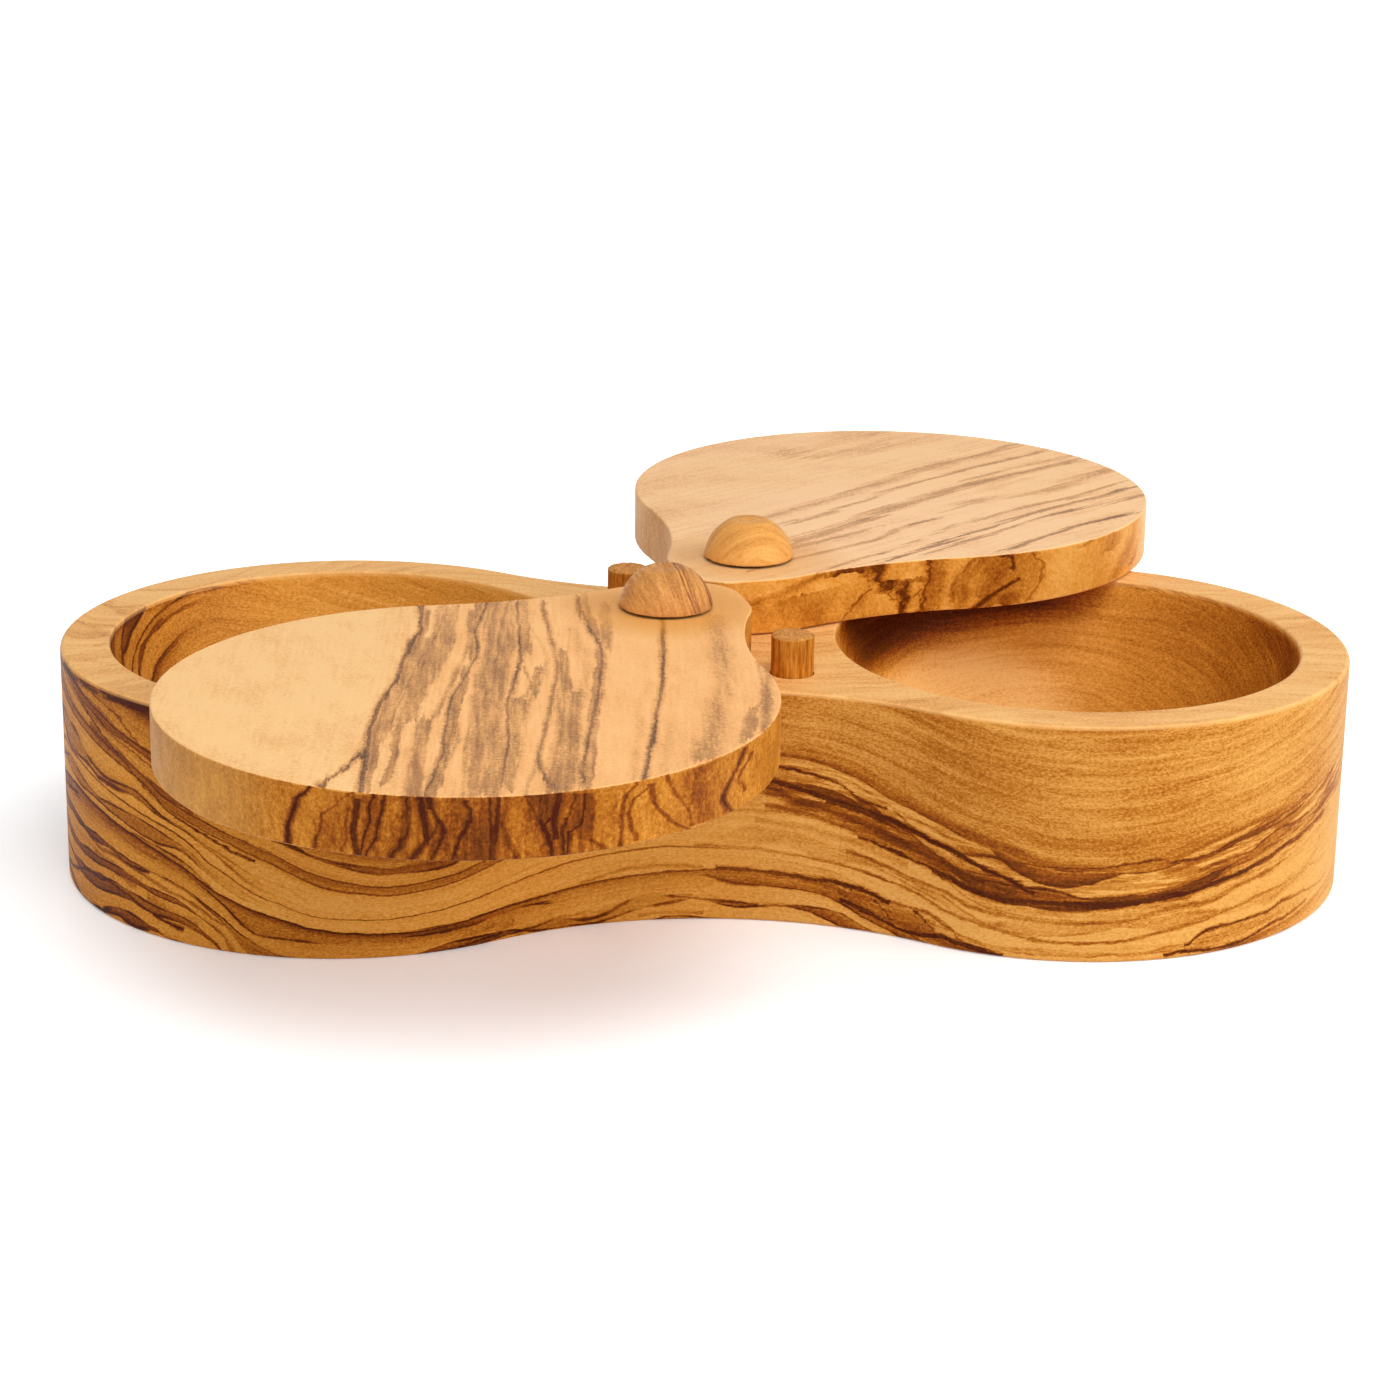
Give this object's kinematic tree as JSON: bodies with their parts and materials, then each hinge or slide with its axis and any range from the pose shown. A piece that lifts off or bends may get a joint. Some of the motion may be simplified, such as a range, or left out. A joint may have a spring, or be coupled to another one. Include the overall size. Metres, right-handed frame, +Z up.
{
  "type": "double salt box",
  "caption": "Waisted solid wood block with two round bowls, each with a flat lid that swivels sideways on a domed wooden pivot and stops at a peg.",
  "frame": {"origin": "middle of the block's underside, on the surface it stands on", "axes": "+Z up; X along the block through both bowls, +X towards the right bowl; the left lid stands open towards -Y and the right lid towards +Y"},
  "size_m": [0.24, 0.2435, 0.0624],
  "materials": {
    "body_wood": "oiled olive wood, satin",
    "lid_wood": "oiled olive wood, satin",
    "cap_wood": "turned and oiled olive wood, satin",
    "dowel_wood": "plain hardwood dowel, rough sawn ends"
  },
  "bodies": {
    "box": {"body": "body_wood", "left_pivot_pin": "dowel_wood", "right_pivot_pin": "dowel_wood", "left_pivot_cap": "cap_wood", "right_pivot_cap": "cap_wood", "front_stop_peg": "dowel_wood", "rear_stop_peg": "dowel_wood"},
    "left_lid": {"left_lid": "lid_wood"},
    "right_lid": {"right_lid": "lid_wood"}
  },
  "joints": [
    {"name": "left_lid_swivel", "type": "hinge", "parent": "box", "child": "left_lid", "pos_m": [-0.0082, -0.01704, 0.0443], "axis": [0, 0, 1], "range_deg": [-72.45, 27]},
    {"name": "right_lid_swivel", "type": "hinge", "parent": "box", "child": "right_lid", "pos_m": [0.0082, 0.01704, 0.0443], "axis": [0, 0, 1], "range_deg": [-75.45, 24]}
  ]
}
